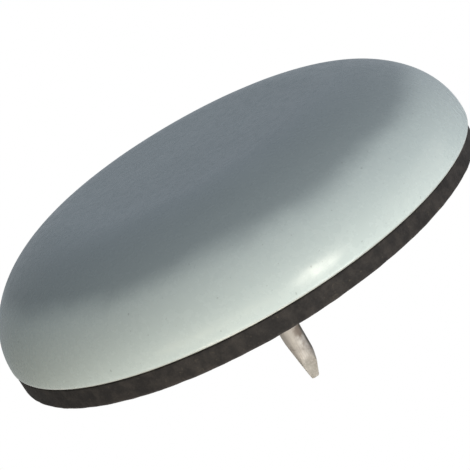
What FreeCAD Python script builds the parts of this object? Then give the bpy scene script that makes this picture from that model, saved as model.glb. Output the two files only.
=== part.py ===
import FreeCAD, Part
import math
import os

# Nail-on furniture glide: a dished sliding cap, a rubber cushion that fills the dish, and a wire nail
# whose flat head is held between the two.
# Millimetres. The glide stands on its sliding face, as it does under a chair leg: the origin is the
# centre of that face, and the nail points up along +Z.

# Sliding cap, a moulded dish with a flat face and one wide elliptic shoulder up to its rim
CAP_DIAMETER = 50.0
CAP_HEIGHT = 9.2
CAP_WALL = 2.0
FACE_DIAMETER = 25.0
CAP_RIM_ROUND = 0.25

# Rubber cushion, which fills the dish and stands out of it as a dark band
BAND_HEIGHT = 1.9
BAND_SETBACK = 0.1
BAND_SEAM_ROUND = 0.15
BAND_BACK_ROUND = 0.3

# Wire nail, with a flat head, grip rings inside the rubber and a diamond point that is cut off blunt
NAIL_DIAMETER = 2.3
NAIL_LENGTH = 25.0
HEAD_DIAMETER = 6.0
HEAD_HEIGHT = 1.0
HEAD_EDGE_ROUND = 0.3
GRIP_RING_HEIGHT = 0.1
GRIP_RING_PITCH = 1.3
POINT_LENGTH = 3.2
POINT_BLUNT_WIDTH = 0.75
POINT_TURN_DEG = -15.0

# Radii and heights that follow from the sizes above
cap_radius = CAP_DIAMETER / 2
face_radius = FACE_DIAMETER / 2
dish_radius = cap_radius - CAP_WALL
band_radius = cap_radius - BAND_SETBACK
nail_radius = NAIL_DIAMETER / 2
head_radius = HEAD_DIAMETER / 2
dish_floor = CAP_WALL
back_height = CAP_HEIGHT + BAND_HEIGHT
head_top = dish_floor + HEAD_HEIGHT
nail_tip = dish_floor + NAIL_LENGTH
point_base = nail_tip - POINT_LENGTH

UP = FreeCAD.Vector(0, 0, 1)
ORIGIN = FreeCAD.Vector(0, 0, 0)
CIRCULAR_WEIGHT = math.sqrt(0.5)


def at(radius, height):
    """The point of a turned profile at a radius and a height."""
    return FreeCAD.Vector(radius, 0, height)


def straight_runs(*points):
    """The straight edges of a profile, from each point to the next."""
    return [Part.LineSegment(start, end).toShape() for start, end in zip(points, points[1:])]


def quarter(start, corner, end):
    """A quarter of an ellipse that leaves start towards corner and reaches end from corner.

    It is a rational curve of second degree: with this weight on the corner it is the true ellipse,
    or a circle where the two legs are alike.
    """
    curve = Part.BezierCurve()
    curve.setPoles([start, corner, end])
    curve.setWeight(2, CIRCULAR_WEIGHT)
    return curve.toShape()


def shoulder(face_height, rim_radius, rim_height):
    """The wide round between a flat face and an upright rim."""
    return quarter(at(face_radius, face_height), at(rim_radius, face_height), at(rim_radius, rim_height))


def dish_shoulder():
    """The round inside the dish, which the cap and the cushion share."""
    return shoulder(dish_floor, dish_radius, CAP_HEIGHT)


def grip_rings():
    """The zigzag of the rings that grip the rubber, from under the nail's head to the cushion's back.

    The nail and the hole that is moulded round it share these edges.
    """
    depth = back_height - head_top
    count = max(1, round(depth / GRIP_RING_PITCH))
    pitch = depth / count
    points = [at(nail_radius, head_top)]
    for ring in range(count):
        valley = head_top + (ring + 1) * pitch
        points.append(at(nail_radius + GRIP_RING_HEIGHT, valley - pitch / 2))
        points.append(at(nail_radius, valley))
    return straight_runs(*points)


def turned(edges):
    """A solid of revolution about Z from the edges of a closed profile, in any order."""
    profile = Part.Face(Part.Wire(Part.__sortEdges__(edges)))
    return profile.revolve(ORIGIN, UP, 360)


def make_sliding_cap():
    """The grey dish: flat outside, wide shoulder, narrow flat rim, and an inside at one wall's depth."""
    rim_side = CAP_HEIGHT - CAP_RIM_ROUND
    rim_inset = cap_radius - CAP_RIM_ROUND
    edges = straight_runs(at(face_radius, dish_floor), at(0, dish_floor), at(0, 0), at(face_radius, 0))
    edges.append(shoulder(0, cap_radius, rim_side))
    edges.append(quarter(at(cap_radius, rim_side), at(cap_radius, CAP_HEIGHT), at(rim_inset, CAP_HEIGHT)))
    edges += straight_runs(at(rim_inset, CAP_HEIGHT), at(dish_radius, CAP_HEIGHT))
    edges.append(dish_shoulder())
    return turned(edges)


def make_rubber_cushion():
    """The dark filling of the dish, with its band over the rim, the nail's hole and the head's pocket."""
    seam_inset = band_radius - BAND_SEAM_ROUND
    seam_side = CAP_HEIGHT + BAND_SEAM_ROUND
    back_inset = band_radius - BAND_BACK_ROUND
    back_side = back_height - BAND_BACK_ROUND
    edges = [dish_shoulder()]
    edges += straight_runs(at(dish_radius, CAP_HEIGHT), at(seam_inset, CAP_HEIGHT))
    edges.append(quarter(at(seam_inset, CAP_HEIGHT), at(band_radius, CAP_HEIGHT), at(band_radius, seam_side)))
    edges += straight_runs(at(band_radius, seam_side), at(band_radius, back_side))
    edges.append(quarter(at(band_radius, back_side), at(band_radius, back_height), at(back_inset, back_height)))
    edges += straight_runs(at(back_inset, back_height), at(nail_radius, back_height))
    edges += grip_rings()
    edges += straight_runs(
        at(nail_radius, head_top),
        at(head_radius, head_top),
        at(head_radius, dish_floor),
        at(face_radius, dish_floor),
    )
    return turned(edges)


def square_ring(half_width, height):
    """A square wire about Z."""
    corners = [(-1, -1), (1, -1), (1, 1), (-1, 1), (-1, -1)]
    return Part.makePolygon([FreeCAD.Vector(x * half_width, y * half_width, height) for x, y in corners])


def make_nail_point():
    """The end of the wire, pinched to four flats and cut off square."""
    wire_end = Part.makeCylinder(nail_radius, POINT_LENGTH, at(0, point_base))
    rings = [square_ring(nail_radius, point_base), square_ring(POINT_BLUNT_WIDTH / 2, nail_tip)]
    flats = Part.makeLoft(rings, True, True)
    flats.rotate(ORIGIN, UP, POINT_TURN_DEG)
    return wire_end.common(flats)


def make_nail():
    """The steel nail: a flat head with rounded edges, grip rings, a plain shank and the point."""
    edge_inset = head_radius - HEAD_EDGE_ROUND
    lower_side = dish_floor + HEAD_EDGE_ROUND
    upper_side = head_top - HEAD_EDGE_ROUND
    edges = straight_runs(at(0, dish_floor), at(edge_inset, dish_floor))
    edges.append(quarter(at(edge_inset, dish_floor), at(head_radius, dish_floor), at(head_radius, lower_side)))
    edges += straight_runs(at(head_radius, lower_side), at(head_radius, upper_side))
    edges.append(quarter(at(head_radius, upper_side), at(head_radius, head_top), at(edge_inset, head_top)))
    edges += straight_runs(at(edge_inset, head_top), at(nail_radius, head_top))
    edges += grip_rings()
    edges += straight_runs(
        at(nail_radius, back_height),
        at(nail_radius, point_base),
        at(0, point_base),
        at(0, dish_floor),
    )
    return turned(edges).fuse(make_nail_point()).removeSplitter()


os.makedirs("parts", exist_ok=True)
make_sliding_cap().exportStep("parts/sliding_cap.step")
make_rubber_cushion().exportStep("parts/rubber_cushion.step")
make_nail().exportStep("parts/nail.step")
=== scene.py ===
"""Dresses the nail-on furniture glide: a waxy grey cap, a black rubber cushion and a stained wire nail.

Everything is in metres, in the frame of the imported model: the glide stands on its sliding face at z = 0 and
the nail points up. The photograph looks at the sliding face from a little below its plane, so the camera
hangs under the floor, upside down, and the floor shows from above only.
"""
import logging
import math
from dataclasses import dataclass, field
from enum import Enum
from typing import Sequence

import bpy
import numpy as np
from mathutils import Matrix, Vector


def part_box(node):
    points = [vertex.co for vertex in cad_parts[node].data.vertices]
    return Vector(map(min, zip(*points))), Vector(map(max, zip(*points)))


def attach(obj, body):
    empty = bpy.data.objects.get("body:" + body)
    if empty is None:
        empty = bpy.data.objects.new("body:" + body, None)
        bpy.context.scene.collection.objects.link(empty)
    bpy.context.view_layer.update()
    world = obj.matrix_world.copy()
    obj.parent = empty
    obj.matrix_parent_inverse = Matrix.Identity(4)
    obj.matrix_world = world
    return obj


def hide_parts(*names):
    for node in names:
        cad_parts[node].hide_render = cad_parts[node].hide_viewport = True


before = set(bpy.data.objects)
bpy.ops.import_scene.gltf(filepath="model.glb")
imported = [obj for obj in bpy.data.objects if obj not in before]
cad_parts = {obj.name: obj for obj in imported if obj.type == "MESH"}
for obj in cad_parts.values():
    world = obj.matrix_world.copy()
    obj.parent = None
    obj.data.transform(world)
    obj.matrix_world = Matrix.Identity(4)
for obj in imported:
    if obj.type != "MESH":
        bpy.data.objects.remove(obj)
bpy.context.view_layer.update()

log = logging.getLogger("glide")

MM = 0.001
BODY = "root"
WHITE = (1.0, 1.0, 1.0)
GOLDEN_ANGLE = math.pi * (3.0 - math.sqrt(5.0))
SHORTEST = 1e-12

# The Mix node names its inputs alike for each kind of data, so its colours are found by their places
MIX_FIRST = 6
MIX_SECOND = 7
MIX_RESULT = 2

Colour = tuple[float, float, float]
Direction = tuple[float, float, float]
Owner = bpy.types.Material | bpy.types.World
Socket = bpy.types.NodeSocket


class Slot(Enum):
    """The record's material slots."""

    CAP = "grey_cap"
    RUBBER = "black_rubber"
    STEEL = "nail_steel"


class TreeKind(Enum):
    """What a node tree belongs to, as the type of its output node and the name of its coordinates."""

    MATERIAL = ("ShaderNodeOutputMaterial", "Object")
    WORLD = ("ShaderNodeOutputWorld", "Generated")


class Step(Enum):
    """Steps of arithmetic between values."""

    ADD = "ADD"
    MULTIPLY = "MULTIPLY"
    MAXIMUM = "MAXIMUM"


@dataclass(frozen=True)
class Spots:
    """A cloud of soft spots, with values about 0.5.

    Attributes:
        per_metre: How many spots there are to the metre.
        detail: How many finer octaves are added.
        roughness: How strong each finer octave is.
    """

    per_metre: float
    detail: float = 3.0
    roughness: float = 0.55


@dataclass(frozen=True)
class Ramp:
    """A smooth climb from one result to another, which holds at both ends.

    Attributes:
        start: The value at which it starts.
        end: The value at which it ends.
        before: The result up to the start.
        after: The result from the end on.
    """

    start: float
    end: float
    before: float = 0.0
    after: float = 1.0


class NodeBench:
    """One node tree, with short calls for the nodes that the finishes and the room share.

    Attributes:
        owner: The material or the world that is being made.
        tree: Its nodes and links.
        output: Its output node.
        place: Object coordinates in metres, or in a world the direction that is looked in.
    """

    def __init__(self, owner: Owner, kind: TreeKind = TreeKind.MATERIAL) -> None:
        """Starts a tree with nothing but its output and its coordinates.

        Args:
            owner: A new material or world.
            kind: Which of the two it is.
        """
        output, place = kind.value
        owner.use_nodes = True
        self.owner = owner
        self.tree = owner.node_tree
        self.tree.nodes.clear()
        self.output = self.tree.nodes.new(output)
        self.place = self.tree.nodes.new("ShaderNodeTexCoord").outputs[place]

    def feed(self, socket: Socket, value: object) -> None:
        """Links a socket to another one, or sets a plain value on it.

        Args:
            socket: The input that is fed.
            value: An output socket, a number, three numbers or a colour.
        """
        if isinstance(value, Socket):
            self.tree.links.new(value, socket)
        elif socket.type == "RGBA":
            socket.default_value = (*value, 1.0)
        else:
            socket.default_value = value

    def add(self, kind: str, *values: object, **inputs: object) -> bpy.types.Node:
        """Adds a node and feeds its inputs.

        Args:
            kind: The node's type name.
            *values: What feeds its first inputs, in order.
            **inputs: Input names, with underscores for spaces, and what feeds them.

        Returns:
            The new node.
        """
        node = self.tree.nodes.new(kind)
        for socket, value in zip(node.inputs, values):
            self.feed(socket, value)
        for name, value in inputs.items():
            self.feed(node.inputs[name.replace("_", " ")], value)
        return node

    def painted_lit_shoulder(self, scale: Direction) -> Socket:
        """The coordinates times a scale for each axis.

        Args:
            scale: The factors along X, Y and Z.

        Returns:
            The scaled coordinates.
        """
        return self.add("ShaderNodeMapping", Vector=self.place, Scale=scale).outputs[0]

    def from_axis(self) -> Socket:
        """The distance from the Z axis.

        Returns:
            The distance in metres.
        """
        length = self.add("ShaderNodeVectorMath", self.painted_lit_shoulder((1.0, 1.0, 0.0)))
        length.operation = "LENGTH"
        return length.outputs["Value"]

    def parts(self) -> bpy.types.Node:
        """The coordinates along X, Y and Z, as a node's three outputs."""
        return self.add("ShaderNodeSeparateXYZ", Vector=self.place)

    def towards(self, direction: Direction) -> Socket:
        """How far a place lies in a direction.

        Args:
            direction: The direction's three parts.

        Returns:
            The distance in metres times the direction's length.
        """
        node = self.add("ShaderNodeVectorMath", self.place, direction)
        node.operation = "DOT_PRODUCT"
        return node.outputs["Value"]

    def noise(self, spots: Spots, vector: Socket | None = None) -> Socket:
        """A cloud of soft spots.

        Args:
            spots: Their number and fineness.
            vector: The coordinates, or None for the object's own.

        Returns:
            A value about 0.5.
        """
        node = self.add(
            "ShaderNodeTexNoise", Vector=self.place if vector is None else vector, Scale=spots.per_metre,
            Detail=spots.detail, Roughness=spots.roughness,
        )
        return node.outputs[0]

    def climb(self, value: Socket, ramp: Ramp) -> Socket:
        """Carries a value along a ramp.

        Args:
            value: The value to carry.
            ramp: The ramp.

        Returns:
            The carried value.
        """
        node = self.add(
            "ShaderNodeMapRange", Value=value, From_Min=ramp.start, From_Max=ramp.end,
            To_Min=ramp.before, To_Max=ramp.after,
        )
        node.interpolation_type = "SMOOTHSTEP"
        return node.outputs[0]

    def combine(self, step: Step, first: Socket, *others: object) -> Socket:
        """Takes one step of arithmetic after another.

        Args:
            step: The kind of step.
            first: The first value.
            *others: The values that are joined to it in order.

        Returns:
            The result.
        """
        result = first
        for other in others:
            node = self.add("ShaderNodeMath", result, other)
            node.operation = step.value
            result = node.outputs[0]
        return result

    def tint(self, share: Socket, first: object, second: object) -> Socket:
        """Mixes two colours.

        Args:
            share: How much of the second there is.
            first: A colour or a colour socket.
            second: A colour or a colour socket.

        Returns:
            The mixed colour.
        """
        node = self.add("ShaderNodeMix", share)
        node.data_type = "RGBA"
        self.feed(node.inputs[MIX_FIRST], first)
        self.feed(node.inputs[MIX_SECOND], second)
        return node.outputs[MIX_RESULT]

    def bump(self, height: Socket, depth: float, under: Socket | None = None) -> Socket:
        """Fine relief that only bends the light.

        Args:
            height: The relief, from 0 to 1.
            depth: Its depth in metres.
            under: The normal of a coarser relief below it.

        Returns:
            The bent normal.
        """
        node = self.add("ShaderNodeBump", Height=height, Distance=depth)
        if under is not None:
            self.feed(node.inputs["Normal"], under)
        return node.outputs[0]

    def blend(self, share: Socket, first: bpy.types.Node, second: bpy.types.Node) -> bpy.types.Node:
        """Mixes two shaders.

        Args:
            share: How much of the second there is.
            first: A shader's node.
            second: A shader's node.

        Returns:
            The node of the mixed shader.
        """
        return self.add("ShaderNodeMixShader", share, first.outputs[0], second.outputs[0])

    def close(self, shader: bpy.types.Node) -> Owner:
        """Ends the tree with its last shader.

        Args:
            shader: The shader's node.

        Returns:
            The finished material or world.
        """
        self.feed(self.output.inputs["Surface"], shader.outputs[0])
        return self.owner


@dataclass(frozen=True)
class WaxyPlastic:
    """The cap's blue-grey fluoropolymer: waxy, softly clouded, with fine specks and a slight orange peel.

    The shoulder is painted much paler than the face, as painted light where the lamps fall on it, and the
    middle of the face is a little paler than a painted-shade ring round it. A painted shade darkens the edge
    of the rim at the seam.
    """

    name: str = "waxy_grey_plastic"
    # Painted shade: body is the darker tone of a ring between the face's middle and the shoulder.
    body: Colour = (0.325, 0.374, 0.394)
    face_middle: Colour = (0.372, 0.424, 0.445)
    clouded: Colour = (0.345, 0.398, 0.418)
    # Painted light: the shoulder's much paler colour stands for the lamps falling on it.
    painted_lit_shoulder: Colour = (0.535, 0.603, 0.615)
    specked: Colour = (0.270, 0.300, 0.305)
    # Painted shade: a darker colour along the rim's edge, where it meets the cushion.
    painted_seam_shade: Colour = (0.260, 0.255, 0.235)
    clouds: Spots = Spots(95.0, 4.0)
    cloud_ramp: Ramp = Ramp(0.3, 0.7)
    wander: float = 0.9 * MM
    # Painted shade: the ring's darkening from the face's middle out towards the shoulder.
    painted_shade_ring_ramp: Ramp = Ramp(14.5 * MM, 19.5 * MM)
    painted_lit_shoulder_ramp: Ramp = Ramp(21.3 * MM, 23.8 * MM)
    specks: Spots = Spots(2400.0, 1.0)
    speck_ramp: Ramp = Ramp(0.74, 0.80, 0.0, 0.55)
    # Painted shade at the seam: darker from 8.9 mm up to the top of the rim.
    painted_seam_shade_ramp: Ramp = Ramp(8.9 * MM, 9.15 * MM, 0.0, 0.9)
    patches: Spots = Spots(1100.0, 3.0, 0.6)
    roughness_ramp: Ramp = Ramp(0.28, 0.72, 0.19, 0.33)
    peel: Spots = Spots(700.0, 2.0)
    peel_depth: float = 0.009 * MM
    grain: Spots = Spots(7000.0, 2.0)
    grain_depth: float = 0.0012 * MM
    refraction: float = 1.48
    gloss: float = 0.5
    glow_share: float = 0.15
    glow_depth: float = 1.2 * MM
    glow_spread: Direction = (1.0, 1.0, 1.0)

    def material(self) -> bpy.types.Material:
        """Clouded colour with rare specks, uneven gloss, and two reliefs under a waxy glow.

        Returns:
            The finished material.
        """
        bench = NodeBench(bpy.data.materials.new(self.name))
        clouds = bench.climb(bench.noise(self.clouds), self.cloud_ramp)
        wander = bench.combine(Step.MULTIPLY, clouds, self.wander)
        radius = bench.combine(Step.ADD, bench.from_axis(), wander)
        colour = bench.tint(clouds, self.face_middle, self.clouded)
        # Painted shade: from about 14.5 mm to 19.5 mm out the face darkens to a ring, and the middle stays
        # paler.
        colour = bench.tint(bench.climb(radius, self.painted_shade_ring_ramp), colour, self.body)
        # Painted light: from about 21.3 mm out the colour turns much paler, as if the shoulder were lit.
        colour = bench.tint(bench.climb(radius, self.painted_lit_shoulder_ramp), colour, self.painted_lit_shoulder)
        colour = bench.tint(bench.climb(bench.noise(self.specks), self.speck_ramp), colour, self.specked)
        # Painted shade: the colour darkens towards the top of the rim, at the seam with the cushion.
        height = bench.parts().outputs["Z"]
        colour = bench.tint(bench.climb(height, self.painted_seam_shade_ramp), colour, self.painted_seam_shade)
        roughness = bench.climb(bench.noise(self.patches), self.roughness_ramp)
        relief = bench.bump(bench.noise(self.peel), self.peel_depth)
        relief = bench.bump(bench.noise(self.grain), self.grain_depth, relief)
        return bench.close(bench.add(
            "ShaderNodeBsdfPrincipled", Base_Color=colour, Roughness=roughness, Normal=relief,
            IOR=self.refraction, Specular_IOR_Level=self.gloss, Subsurface_Weight=self.glow_share,
            Subsurface_Scale=self.glow_depth, Subsurface_Radius=self.glow_spread,
        ))


@dataclass(frozen=True)
class CutRubber:
    """The cushion's brown-black rubber, mottled and matt, with a fine cut grain."""

    name: str = "cut_black_rubber"
    body: Colour = (0.021, 0.0192, 0.0200)
    mottled: Colour = (0.039, 0.0345, 0.0335)
    dusty: Colour = (0.080, 0.070, 0.058)
    mottles: Spots = Spots(900.0, 4.0, 0.62)
    mottle_ramp: Ramp = Ramp(0.35, 0.7)
    mottle_depth: float = 0.02 * MM
    dust: Spots = Spots(2600.0, 2.0, 0.6)
    dust_ramp: Ramp = Ramp(0.62, 0.76, 0.0, 0.6)
    grain: Spots = Spots(5200.0, 3.0, 0.6)
    grain_depth: float = 0.014 * MM
    roughness_ramp: Ramp = Ramp(0.3, 0.7, 0.62, 0.86)
    gloss: float = 0.14

    def material(self) -> bpy.types.Material:
        """Two mottled blacks with a little pale dust, over two reliefs.

        Returns:
            The finished material.
        """
        bench = NodeBench(bpy.data.materials.new(self.name))
        mottles = bench.noise(self.mottles)
        colour = bench.tint(bench.climb(mottles, self.mottle_ramp), self.body, self.mottled)
        colour = bench.tint(bench.climb(bench.noise(self.dust), self.dust_ramp), colour, self.dusty)
        grain = bench.noise(self.grain)
        roughness = bench.climb(grain, self.roughness_ramp)
        relief = bench.bump(mottles, self.mottle_depth)
        relief = bench.bump(grain, self.grain_depth, relief)
        return bench.close(bench.add(
            "ShaderNodeBsdfPrincipled", Base_Color=colour, Roughness=roughness, Normal=relief,
            Specular_IOR_Level=self.gloss,
        ))


@dataclass(frozen=True)
class StainedWire:
    """The nail's dull drawn steel, with brown stains up one side from the rubber and a rough-cut point."""

    name: str = "stained_steel_wire"
    steel: Colour = (0.450, 0.424, 0.412)
    streaked: Colour = (0.378, 0.352, 0.338)
    rough_cut: Colour = (0.250, 0.236, 0.218)
    stained: Colour = (0.15, 0.11, 0.088)
    # A near-black band along the -X edge, partly dark crust and partly painted shade.
    crust_and_shade_colour: Colour = (0.055, 0.050, 0.040)
    streaks: Spots = Spots(1.0, 3.0, 0.6)
    streak_stretch: Direction = (5200.0, 5200.0, 260.0)
    streak_ramp: Ramp = Ramp(0.35, 0.65)
    streak_depth: float = 0.010 * MM
    pits: Spots = Spots(4200.0, 2.0)
    pit_depth: float = 0.008 * MM
    cut_pit_ramp: Ramp = Ramp(0.3, 0.6, 0.55, 1.0)
    cut_height_ramp: Ramp = Ramp(23.6 * MM, 25.2 * MM)
    blots: Spots = Spots(750.0, 4.0, 0.65)
    blot_ramp: Ramp = Ramp(0.36, 0.62)
    spot_ramp: Ramp = Ramp(0.60, 0.72, 0.0, 0.45)
    stain_side: Direction = (-1.0, -0.25, 0.0)
    stain_side_ramp: Ramp = Ramp(-0.1 * MM, 0.9 * MM, 0.0, 0.75)
    stain_height_ramp: Ramp = Ramp(22.4 * MM, 24.8 * MM, 1.0, 0.2)
    # Partly crust, partly painted shade: a dark band on the -X edge at the front, fading towards the back and
    # the point.
    crust_and_shade_side: Direction = (-1.0, 0.25, 0.0)
    crust_and_shade_side_ramp: Ramp = Ramp(0.60 * MM, 1.0 * MM, 0.0, 0.95)
    crust_and_shade_height_ramp: Ramp = Ramp(23.4 * MM, 24.8 * MM, 1.0, 0.0)
    crust_and_shade_fade_side: Direction = (0.0, 1.0, 0.0)
    crust_and_shade_fade_ramp: Ramp = Ramp(0.1 * MM, 0.7 * MM, 1.0, 0.15)
    roughness_ramp: Ramp = Ramp(0.3, 0.7, 0.55, 0.78)
    metal_share: float = 0.5

    def material(self) -> bpy.types.Material:
        """Lengthwise streaks, a brown stain on one side that fades towards the point, and fine pits.

        Returns:
            The finished material.
        """
        bench = NodeBench(bpy.data.materials.new(self.name))
        height = bench.parts().outputs["Z"]
        streaks = bench.noise(self.streaks, bench.painted_lit_shoulder(self.streak_stretch))
        pits = bench.noise(self.pits)
        blots = bench.noise(self.blots)
        cut = bench.combine(
            Step.MULTIPLY,
            bench.climb(height, self.cut_height_ramp),
            bench.climb(pits, self.cut_pit_ramp),
        )
        wet = bench.combine(
            Step.MULTIPLY,
            bench.climb(bench.towards(self.stain_side), self.stain_side_ramp),
            bench.climb(height, self.stain_height_ramp),
            bench.climb(blots, self.blot_ramp),
        )
        # Partly crust, partly painted shade: dark along the -X edge, weaker towards +Y and gone near the
        # point.
        crust_and_shade = bench.combine(
            Step.MULTIPLY,
            bench.climb(bench.towards(self.crust_and_shade_side), self.crust_and_shade_side_ramp),
            bench.climb(bench.towards(self.crust_and_shade_fade_side), self.crust_and_shade_fade_ramp),
            bench.climb(height, self.crust_and_shade_height_ramp),
        )
        stain = bench.combine(Step.MAXIMUM, wet, bench.climb(blots, self.spot_ramp))
        colour = bench.tint(bench.climb(streaks, self.streak_ramp), self.steel, self.streaked)
        colour = bench.tint(cut, colour, self.rough_cut)
        colour = bench.tint(stain, colour, self.stained)
        # Darkens the -X edge: partly crust, partly painted shade.
        colour = bench.tint(crust_and_shade, colour, self.crust_and_shade_colour)
        roughness = bench.climb(blots, self.roughness_ramp)
        relief = bench.bump(streaks, self.streak_depth)
        relief = bench.bump(pits, self.pit_depth, relief)
        return bench.close(bench.add(
            "ShaderNodeBsdfPrincipled", Base_Color=colour, Metallic=self.metal_share, Roughness=roughness,
            Normal=relief,
        ))


def arc(centre: Sequence[float], legs: Sequence[float], start: float, end: float, steps: int) -> np.ndarray:
    """A stretch of an ellipse in a turned profile.

    The point at angle a is the centre plus the first leg times the cosine of a, along the radius, and the
    second leg times the sine of a, along the height.

    Args:
        centre: The ellipse's centre, as radius and height.
        legs: Its half widths along the radius and the height.
        start: The first angle in degrees.
        end: The last angle in degrees.
        steps: How many points there are.

    Returns:
        The points, one row each of radius and height.
    """
    angle = np.radians(np.linspace(start, end, steps))
    return np.stack([centre[0] + legs[0] * np.cos(angle), centre[1] + legs[1] * np.sin(angle)], axis=1)


def straight(start: Sequence[float], end: Sequence[float], steps: int) -> np.ndarray:
    """Evenly spaced points between two points of a profile, both ends left out.

    Args:
        start: The point before the first.
        end: The point after the last.
        steps: How many points there are.

    Returns:
        The points, one row each of radius and height.
    """
    share = np.linspace(0.0, 1.0, steps + 2)[1:-1, None]
    return np.asarray(start) * (1.0 - share) + np.asarray(end) * share


def full_turn(steps: int) -> np.ndarray:
    """Even angles of one turn, with no repeat of the first."""
    return np.linspace(0.0, 2.0 * math.pi, steps, endpoint=False)


def profile_normals(profile: np.ndarray) -> np.ndarray:
    """The outward normals of a profile that runs outwards below and inwards above.

    Each is the chord between a point's two neighbours, turned a quarter turn clockwise.

    Args:
        profile: The points, one row each of radius and height.

    Returns:
        Unit normals, one row each.
    """
    chord = np.gradient(profile, axis=0)
    normal = np.stack([chord[:, 1], -chord[:, 0]], axis=1)
    return normal / np.maximum(np.linalg.norm(normal, axis=1, keepdims=True), SHORTEST)


def spun(profile: np.ndarray, angles: np.ndarray, swell: np.ndarray) -> np.ndarray:
    """Carries a profile round the Z axis.

    Each point moves along its profile normal by its swell, and then stands at its radius from the axis in the
    direction of each angle.

    Args:
        profile: The points, one row each of radius and height.
        angles: Angles about the axis, in radians.
        swell: How far each point of the grid stands out, in metres.

    Returns:
        Rings by points by three coordinates.
    """
    normal = profile_normals(profile)
    radius = profile[:, :1] + normal[:, :1] * swell
    height = profile[:, 1:] + normal[:, 1:] * swell
    return np.stack([radius * np.cos(angles), radius * np.sin(angles), height], axis=-1)


def sew(name: str, points: np.ndarray, poles: bool) -> bpy.types.Object:
    """Makes a closed mesh from a grid whose rows are rings about an axis.

    The faces join each point to the next in its ring and to the next ring. With poles, the first and the last
    ring shrink to one point each. Without, the last ring joins the first. The winding follows the signed
    volume, so that the faces point outwards.

    Args:
        name: The piece's name.
        points: Rings by points by three coordinates.
        poles: Whether the two end rings are points on the axis.

    Returns:
        The new object, at the origin.
    """
    rings, count = points.shape[:2]
    index = np.arange(rings * count).reshape(rings, count)
    if poles:
        index[0, :] = index[0, 0]
        index[-1, :] = index[-1, 0]
    upper = index[1:] if poles else np.roll(index, -1, axis=0)
    lower = index[:-1] if poles else index
    quads = np.stack([lower, np.roll(lower, -1, 1), np.roll(upper, -1, 1), upper], axis=-1).reshape(-1, 4)
    flat = points.reshape(-1, 3)
    one, two, three, four = (flat[corner] for corner in quads.T)
    volume = (one * (np.cross(two, three) + np.cross(three, four))).sum()
    if volume < 0:
        quads = quads[:, ::-1]
    used, compact = np.unique(quads, return_inverse=True)
    faces = compact.reshape(quads.shape).tolist()
    mesh = bpy.data.meshes.new(name)
    mesh.from_pydata(flat[used].tolist(), [], [list(dict.fromkeys(face)) for face in faces])
    mesh.update()
    mesh.shade_smooth()
    piece = bpy.data.objects.new(name, mesh)
    bpy.context.scene.collection.objects.link(piece)
    return piece


def set_in_place(
    piece: bpy.types.Object, node: str, finish: bpy.types.Material, crease_deg: float,
) -> None:
    """Dresses a finished piece and ties it to the frame in place of its plain solid.

    Args:
        piece: The piece.
        node: The plain solid's name.
        finish: The material.
        crease_deg: The angle between faces above which an edge stays sharp.
    """
    piece.data.materials.append(finish)
    piece.data.set_sharp_from_angle(angle=math.radians(crease_deg))
    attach(piece, BODY)
    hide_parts(node)


@dataclass(frozen=True)
class Ripple:
    """Soft unevenness of a turned surface: the mean of cosines that run slantwise round it.

    Each cosine has its own whole number of waves round the axis and its own waves along the profile, and
    starts one golden angle after the one before.

    Attributes:
        depth: What the mean, which lies between -1 and 1, is multiplied by, in metres.
        inset: What is taken off the mean first, so that the surface lies mostly inside its plain form.
        turns: Each cosine's waves in one turn.
        waves: Each cosine's waves to the metre along the profile.
    """

    depth: float
    inset: float
    turns: tuple[int, ...]
    waves: tuple[int, ...]

    def swell(self, profile: np.ndarray, angles: np.ndarray) -> np.ndarray:
        """How far each point of a spun profile stands out.

        Args:
            profile: The points, one row each of radius and height.
            angles: Angles about the axis, in radians.

        Returns:
            Distances in metres, rings by points.
        """
        steps = np.linalg.norm(np.diff(profile, axis=0), axis=1)
        lengths = np.concatenate([[0.0], np.cumsum(steps)])
        along = np.multiply.outer(lengths, 2.0 * math.pi * np.asarray(self.waves))
        around = np.multiply.outer(angles, np.asarray(self.turns))
        start = GOLDEN_ANGLE * np.arange(len(self.turns))
        mean = np.cos(along[:, None] + around + start).mean(axis=-1)
        return self.depth * (mean - self.inset)


@dataclass(frozen=True)
class Dish:
    """The inside of the cap, shared by the cap and the cushion that fills it."""

    face_radius: float = 12.5 * MM
    wall: float = 2.0 * MM
    points: int = 30

    def shoulder(self, radius: float, rim: float) -> np.ndarray:
        """The quarter of an ellipse from the dish's flat floor up to the inner edge of the rim.

        Args:
            radius: The cap's outer radius.
            rim: The height of its rim.

        Returns:
            The points, one row each of radius and height.
        """
        legs = (radius - self.wall - self.face_radius, rim - self.wall)
        return arc((self.face_radius, rim), legs, -90.0, 0.0, self.points)


@dataclass(frozen=True)
class GripRings:
    """The rings on the nail that grip the rubber, shared by the nail and the hole moulded round it."""

    radius: float = 1.15 * MM
    height: float = 0.1 * MM
    count: int = 6

    def section(self, start: float, end: float) -> np.ndarray:
        """The zigzag between two heights: valleys at the wire's radius and a crest between each two.

        Args:
            start: The first height.
            end: The last height.

        Returns:
            The points, one row each of radius and height.
        """
        points = 2 * self.count + 1
        crest = np.arange(points) % 2
        return np.stack([self.radius + self.height * crest, np.linspace(start, end, points)], axis=1)


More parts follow.
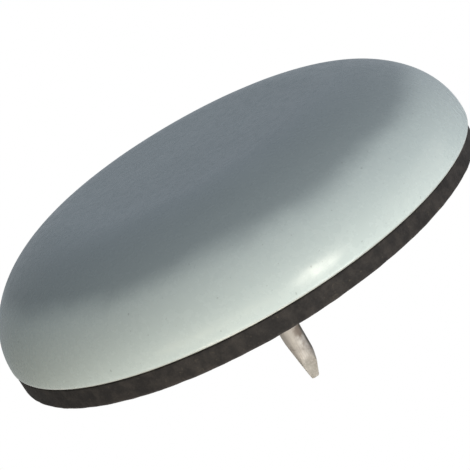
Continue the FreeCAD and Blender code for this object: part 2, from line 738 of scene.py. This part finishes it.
@dataclass
class SlidingCap:
    """The moulded dish with its flat face, its wide elliptic shoulder and its narrow rim."""

    node: str = "sliding_cap"
    dish: Dish = field(default_factory=Dish)
    rim_round: float = 0.25 * MM
    ripple: Ripple = Ripple(0.008 * MM, 1.0, (3, 7, 11, 16, 23, 5), (41, -87, 63, 118, -52, 149))
    segments: int = 288
    face_points: int = 22
    shoulder_points: int = 90
    rim_points: int = 7
    edge_points: int = 3
    floor_points: int = 5
    crease_deg: float = 40.0
    finish: WaxyPlastic = field(default_factory=WaxyPlastic)

    def profile(self) -> np.ndarray:
        """The section from the middle of the face out to the rim and back to the middle of the inside.

        Returns:
            The points, one row each of radius and height.
        """
        low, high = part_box(self.node)
        radius, rim = (high.x - low.x) / 2, high.z
        face, wall = self.dish.face_radius, self.dish.wall
        edge = radius - self.rim_round
        upright = rim - self.rim_round
        return np.concatenate([
            [(0.0, 0.0)],
            straight((0.0, 0.0), (face, 0.0), self.face_points),
            arc((face, upright), (radius - face, upright), -90.0, 0.0, self.shoulder_points),
            arc((edge, upright), (self.rim_round,) * 2, 0.0, 90.0, self.rim_points)[1:],
            straight((edge, rim), (radius - wall, rim), self.edge_points),
            self.dish.shoulder(radius, rim)[::-1],
            straight((face, wall), (0.0, wall), self.floor_points),
            [(0.0, wall)],
        ])

    def build(self) -> bpy.types.Object:
        """Spins the section, with the slight unevenness of a moulding that calms towards the axis.

        Returns:
            The new object, at the origin.
        """
        profile = self.profile()
        angles = full_turn(self.segments)
        calm = np.minimum(1.0, profile[:, :1] / self.dish.face_radius)
        points = spun(profile, angles, self.ripple.swell(profile, angles) * calm)
        return sew(self.node + "_dressed", points, poles=True)

    def dress(self, piece: bpy.types.Object) -> None:
        """Gives the cap its finish and its place in the frame."""
        set_in_place(piece, self.node, self.finish.material(), self.crease_deg)


@dataclass
class RubberCushion:
    """The cushion that fills the dish, with its cut band, its back and the small collar round the nail."""

    node: str = "rubber_cushion"
    cap_node: str = "sliding_cap"
    dish: Dish = field(default_factory=Dish)
    grip: GripRings = field(default_factory=GripRings)
    head_radius: float = 3.0 * MM
    head_height: float = 1.0 * MM
    seam_round: float = 0.15 * MM
    back_round: float = 0.30 * MM
    back_lean: float = 0.28 * MM
    back_bow: float = 0.11 * MM
    end_setback: float = 0.22 * MM
    setback_depth: float = 1.0 * MM
    setback_narrowness: float = 12.0
    collar_height: float = 0.18 * MM
    collar_width: float = 0.9 * MM
    ripple: Ripple = Ripple(0.035 * MM, 0.5, (5, 13, 29, 47, 71, 103), (90, -160, 240, -75, 130, 310))
    segments: int = 360
    floor_points: int = 4
    ledge_points: int = 2
    seam_points: int = 6
    band_points: int = 16
    edge_points: int = 9
    back_points: int = 40
    collar_points: int = 9
    crease_deg: float = 50.0
    finish: CutRubber = field(default_factory=CutRubber)

    def collar(self, back: float) -> np.ndarray:
        """The collar's slope up to the nail, along half a wave of a cosine.

        Args:
            back: The height of the cushion's back.

        Returns:
            The points, one row each of radius and height.
        """
        share = np.linspace(1.0, 0.0, self.collar_points)
        lift = self.collar_height * (1.0 + np.cos(math.pi * share)) / 2
        return np.stack([self.grip.radius + self.collar_width * share, back + lift], axis=1)

    def profile(self) -> np.ndarray:
        """The section as a closed ring: crown, seam, band, back, collar, hole and the head's pocket.

        Returns:
            The points, one row each of radius and height.
        """
        low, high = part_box(self.node)
        radius, back = (high.x - low.x) / 2, high.z
        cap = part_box(self.cap_node)[1]
        face, wall, rim = self.dish.face_radius, self.dish.wall, cap.z
        head_top = wall + self.head_height
        seam_edge, seam_top = radius - self.seam_round, rim + self.seam_round
        back_edge, back_foot = radius - self.back_round, back - self.back_round
        return np.concatenate([
            straight((self.head_radius, wall), (face, wall), self.floor_points),
            self.dish.shoulder(cap.x, rim),
            straight((cap.x - wall, rim), (seam_edge, rim), self.ledge_points),
            arc((seam_edge, seam_top), (self.seam_round,) * 2, -90.0, 0.0, self.seam_points),
            straight((radius, seam_top), (radius, back_foot), self.band_points),
            arc((back_edge, back_foot), (self.back_round,) * 2, 0.0, 90.0, self.edge_points),
            straight((back_edge, back), (self.grip.radius + self.collar_width, back), self.back_points),
            self.collar(back),
            self.grip.section(back, head_top),
            [(self.head_radius, head_top), (self.head_radius, wall)],
        ])

    def build(self) -> bpy.types.Object:
        """Spins the section, with the unevenness of a cut edge above the seam and away from the nail.

        The back is cut a little out of square and not quite flat: above the rim each point rises with its
        share of the band's height, by a lean times its place along X and a bow times that place squared. The
        outer edge is set back at the thin end, at -X, by a share that is a high power of half of one minus
        the cosine of the angle from +X.

        Returns:
            The new object, at the origin.
        """
        profile = self.profile()
        angles = full_turn(self.segments)
        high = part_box(self.node)[1]
        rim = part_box(self.cap_node)[1].z
        cut = np.clip((profile[:, 1:] - rim) / self.seam_round, 0.0, 1.0)
        cut *= np.clip((profile[:, :1] - self.grip.radius) / self.collar_width, 0.0, 1.0)
        points = spun(profile, angles, self.ripple.swell(profile, angles) * cut)
        outer = np.clip(1.0 - (high.x - profile[:, :1]) / self.setback_depth, 0.0, 1.0)
        thin_end = ((1.0 - np.cos(angles)) / 2) ** self.setback_narrowness
        inward = self.end_setback * outer * cut * thin_end
        points[..., :2] *= (1.0 - inward / profile[:, :1])[..., None]
        raised = np.clip((points[..., 2] - rim) / (high.z - rim), 0.0, 1.0)
        across = points[..., 0] / high.x
        points[..., 2] += raised * (self.back_lean * across + self.back_bow * across ** 2)
        return sew(self.node + "_dressed", points, poles=False)

    def dress(self, piece: bpy.types.Object) -> None:
        """Gives the cushion its finish and its place in the frame."""
        set_in_place(piece, self.node, self.finish.material(), self.crease_deg)


@dataclass
class Nail:
    """The wire nail: flat head, grip rings, plain shank and a blunted point with four uneven flats."""

    node: str = "nail"
    cushion_node: str = "rubber_cushion"
    grip: GripRings = field(default_factory=GripRings)
    head_height: float = 1.0 * MM
    head_round: float = 0.3 * MM
    flat_start: float = 1.24 * MM
    flat_lengths: tuple[float, ...] = (5.5 * MM, 3.6 * MM, 3.15 * MM, 3.6 * MM)
    flat_ends: tuple[float, ...] = (0.49 * MM, 0.375 * MM, 0.26 * MM, 0.375 * MM)
    tip_round: float = 0.17 * MM
    point_turn_deg: float = -6.0
    edge_sharpness: float = 26.0
    grazing: float = 0.05
    segments: int = 128
    head_points: int = 6
    shank_points: int = 30
    flat_points: int = 60
    end_points: int = 3
    crease_deg: float = 35.0
    finish: StainedWire = field(default_factory=StainedWire)

    def section(self) -> np.ndarray:
        """The turned section, from the middle of the head to the middle of the blunt end.

        Returns:
            The points, one row each of radius and height.
        """
        low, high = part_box(self.node)
        base, tip = low.z, high.z
        head_top = base + self.head_height
        corner = (high.x - low.x) / 2 - self.head_round
        rounding = (self.head_round,) * 2
        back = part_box(self.cushion_node)[1].z
        wire = self.grip.radius
        shoulder = tip - max(self.flat_lengths)
        return np.concatenate([
            [(0.0, base)],
            arc((corner, base + self.head_round), rounding, -90.0, 0.0, self.head_points),
            arc((corner, head_top - self.head_round), rounding, 0.0, 90.0, self.head_points),
            self.grip.section(head_top, back),
            straight((wire, back), (wire, shoulder), self.shank_points),
            straight((wire, shoulder), (wire, tip), self.flat_points),
            straight((wire, tip), (0.0, tip), self.end_points),
            [(0.0, tip)],
        ])

    def pinch(self, below: np.ndarray, angles: np.ndarray) -> np.ndarray:
        """How far the surface of the point lies from the axis.

        Each flat slopes evenly towards the axis, from just outside the wire to its own distance at the tip,
        where it rounds off along a quarter circle. In each direction the surface lies at the smallest of the
        wire's radius and the distances to the flats, each of which is the flat's own distance over the cosine
        of the angle between. A mean of high power rounds the edges a little where they meet.

        Args:
            below: Depths below the tip, one row each.
            angles: Angles about the axis, in radians.

        Returns:
            The distances, rings by points, with no limit below the longest flat.
        """
        climb = np.clip(1.0 - below / self.tip_round, 0.0, 1.0)
        rounding = self.tip_round * (1.0 - np.sqrt(1.0 - climb ** 2))
        turned = angles - math.radians(self.point_turn_deg)
        power = -self.edge_sharpness
        powers = np.full((len(below), len(angles)), self.grip.radius ** power)
        for quarter, (length, end) in enumerate(zip(self.flat_lengths, self.flat_ends)):
            share = np.clip(1.0 - below / length, 0.0, 1.0)
            flat = self.flat_start * (1.0 - share) + end * share - rounding
            facing = np.maximum(np.cos(turned - quarter * math.pi / 2), self.grazing)
            powers += (flat / facing) ** power
        return np.where(below < max(self.flat_lengths), powers ** (1.0 / power), np.inf)

    def build(self) -> bpy.types.Object:
        """Spins the section, pinches its end to four flats and closes the blunt end.

        Returns:
            The new object, at the origin.
        """
        section = self.section()
        angles = full_turn(self.segments)
        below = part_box(self.node)[1].z - section[:, 1:]
        radius = np.minimum(section[:, :1], self.pinch(below, angles))
        closing = np.linspace(1.0, 0.0, self.end_points + 2)[1:, None]
        radius[-len(closing):] = radius[-len(closing) - 1] * closing
        height = np.broadcast_to(section[:, 1:], radius.shape)
        points = np.stack([radius * np.cos(angles), radius * np.sin(angles), height], axis=-1)
        return sew(self.node + "_dressed", points, poles=True)

    def dress(self, piece: bpy.types.Object) -> None:
        """Gives the nail its finish and its place in the frame."""
        set_in_place(piece, self.node, self.finish.material(), self.crease_deg)


@dataclass(frozen=True)
class SoftBox:
    """A soft lamp that hangs round the glide and points at it.

    The azimuth is 0 in front, at -Y, and grows towards +X. The level is what a white surface square to the
    lamp shows, where 1 is white.
    """

    name: str
    azimuth_deg: float
    elevation_deg: float
    level: float
    width: float
    height: float
    colour: Colour
    distance: float = 0.32

    def hang(self, target: Vector) -> None:
        """Makes the lamp.

        Args:
            target: The point that it faces.
        """
        around, up = math.radians(self.azimuth_deg), math.radians(self.elevation_deg)
        away = Vector((math.sin(around) * math.cos(up), -math.cos(around) * math.cos(up), math.sin(up)))
        lamp = bpy.data.lights.new(self.name, "AREA")
        lamp.shape = "RECTANGLE"
        lamp.size, lamp.size_y = self.width, self.height
        lamp.color = self.colour
        lamp.energy = self.level * (math.pi * self.distance) ** 2
        holder = bpy.data.objects.new(self.name, lamp)
        holder.location = target + away * self.distance
        holder.rotation_euler = (-away).to_track_quat("-Z", "Y").to_euler()
        bpy.context.scene.collection.objects.link(holder)


@dataclass
class Studio:
    """The pale floor, the soft lamps, the plain world and the camera."""

    floor_gap: float = 0.05 * MM
    floor_inner: float = 10.0 * MM
    floor_radius: float = 4.0
    floor_rings: int = 16
    floor_segments: int = 96
    floor_colour: Colour = (0.60, 0.60, 0.595)
    floor_fade: Ramp = Ramp(0.07, 0.20)
    room_light: Colour = (0.357, 0.388, 0.424)
    room_shade: Colour = (0.172, 0.176, 0.156)
    shade_ramp: Ramp = Ramp(0.0, 1.0)
    skirt_ramp: Ramp = Ramp(0.25, 0.60)
    lens_mm: float = 100.0
    sensor_mm: float = 36.0
    clip_start: float = 5.0 * MM
    view_elevation_deg: float = -17.481
    view_roll_deg: float = -149.916
    view_distance: float = 127.37 * MM
    view_target: tuple[float, float, float] = (-0.03 * MM, 0.0, 9.725 * MM)
    lamps: tuple[SoftBox, ...] = (
        SoftBox(
            "front_softbox", azimuth_deg=-28.0, elevation_deg=31.0, level=0.30,
            width=0.12, height=0.08, colour=(0.97, 1.0, 0.92),
        ),
        SoftBox(
            "left_softbox", azimuth_deg=27.0, elevation_deg=31.0, level=0.245,
            width=0.12, height=0.08, colour=(1.0, 0.88, 0.64),
        ),
        SoftBox(
            "cream_strip", azimuth_deg=24.0, elevation_deg=3.0, level=0.11,
            width=0.30, height=0.060, colour=(1.0, 0.90, 0.66),
        ),
        SoftBox(
            "window_strip", azimuth_deg=-21.5, elevation_deg=2.0, level=0.32,
            width=0.085, height=0.070, colour=(1.0, 0.955, 0.82),
        ),
        SoftBox(
            "right_fill", azimuth_deg=-80.0, elevation_deg=6.0, level=0.14,
            width=0.30, height=0.20, colour=(1.0, 0.93, 0.82),
        ),
        SoftBox(
            "overhead_softbox", azimuth_deg=20.0, elevation_deg=70.0, level=0.50,
            width=0.16, height=0.16, colour=(1.0, 0.92, 0.80),
        ),
        SoftBox(
            "back_softbox", azimuth_deg=170.0, elevation_deg=40.0, level=0.42,
            width=0.18, height=0.12, colour=(1.0, 0.92, 0.81),
        ),
    )

    def lay_floor(self) -> None:
        """A wide round floor that takes the shadow near the glide and fades to white further off.

        It is a disc of rings whose radii grow evenly on a logarithmic scale. Only the camera sees it, and
        only from above, so that the sliding face can be looked at from below.
        """
        radii = np.geomspace(self.floor_inner, self.floor_radius, self.floor_rings)
        angles = full_turn(self.floor_segments)
        points = np.stack([
            np.multiply.outer(radii, np.cos(angles)),
            np.multiply.outer(radii, np.sin(angles)),
            np.full((len(radii), len(angles)), -self.floor_gap),
        ], axis=-1)
        index = np.arange(points[..., 0].size).reshape(len(radii), len(angles))
        inner, outer = index[:-1], index[1:]
        ring = np.stack([inner, outer, np.roll(outer, -1, 1), np.roll(inner, -1, 1)], axis=-1)
        middle = index[0].tolist()
        mesh = bpy.data.meshes.new("floor")
        mesh.from_pydata(points.reshape(-1, 3).tolist(), [], [middle] + ring.reshape(-1, 4).tolist())
        mesh.update()
        floor = bpy.data.objects.new("floor", mesh)
        bpy.context.scene.collection.objects.link(floor)
        floor.data.materials.append(self.floor_material())
        floor.visible_diffuse = False
        floor.visible_glossy = False
        floor.visible_transmission = False
        floor.visible_shadow = False

    def floor_material(self) -> bpy.types.Material:
        """Matt and pale near the glide, plain white to the camera further off, and clear from below.

        Returns:
            The finished material.
        """
        bench = NodeBench(bpy.data.materials.new("pale_floor"))
        matt = bench.add("ShaderNodeBsdfDiffuse", Color=self.floor_colour)
        white = bench.add("ShaderNodeEmission", Color=WHITE)
        clear = bench.add("ShaderNodeBsdfTransparent")
        top = bench.blend(bench.climb(bench.from_axis(), self.floor_fade), matt, white)
        below = bench.add("ShaderNodeNewGeometry").outputs["Backfacing"]
        material = bench.close(bench.blend(below, top, clear))
        material.cycles.emission_sampling = "NONE"
        return material

    def light_room(self) -> None:
        """A world that is white to look at and in reflections, and dim and cool as light.

        It is darker and warmer at +X. Low reflections show the dim room too, as the floor in the glide's own
        shade would.
        """
        world = bpy.data.worlds.new("room")
        bpy.context.scene.world = world
        bench = NodeBench(world, TreeKind.WORLD)
        path = bench.add("ShaderNodeLightPath")
        looked = bench.parts()
        above = bench.climb(looked.outputs["Z"], self.skirt_ramp)
        shine = bench.combine(Step.MULTIPLY, path.outputs["Is Glossy Ray"], above)
        seen = bench.combine(
            Step.MAXIMUM, path.outputs["Is Camera Ray"], shine, path.outputs["Is Transmission Ray"])
        beside = bench.climb(looked.outputs["X"], self.shade_ramp)
        room = bench.tint(beside, self.room_light, self.room_shade)
        dim = bench.add("ShaderNodeBackground", Color=room)
        white = bench.add("ShaderNodeBackground", Color=WHITE)
        bench.close(bench.blend(seen, dim, white))

    def set_camera(self) -> None:
        """Places the camera where the photograph was taken from.

        It looks along +Y and upwards at the target, and is rolled about its line of sight.
        """
        up = math.radians(self.view_elevation_deg)
        away = Vector((0.0, -math.cos(up), math.sin(up)))
        lens = bpy.data.cameras.new("camera")
        lens.lens = self.lens_mm
        lens.sensor_width = self.sensor_mm
        lens.clip_start = self.clip_start
        camera = bpy.data.objects.new("camera", lens)
        level = (-away).to_track_quat("-Z", "Y").to_matrix()
        rolled = level @ Matrix.Rotation(-math.radians(self.view_roll_deg), 3, "Z")
        place = Vector(self.view_target) + away * self.view_distance
        camera.matrix_world = Matrix.LocRotScale(place, rolled, None)
        bpy.context.scene.collection.objects.link(camera)
        bpy.context.scene.camera = camera

    def build(self) -> None:
        """Sets up the whole stage."""
        bpy.context.scene.view_settings.view_transform = "Standard"
        self.lay_floor()
        self.light_room()
        for lamp in self.lamps:
            lamp.hang(Vector(self.view_target))
        self.set_camera()


def main() -> None:
    """Builds the stage and the pieces in order."""
    logging.basicConfig(level=logging.INFO, format="%(name)s: %(message)s")
    Studio().build()
    for part in (SlidingCap(), RubberCushion(), Nail()):
        piece = part.build()
        part.dress(piece)
        log.info("%s: %d faces, in place of %s", piece.name, len(piece.data.polygons), part.node)


if __name__ == "__main__":
    main()
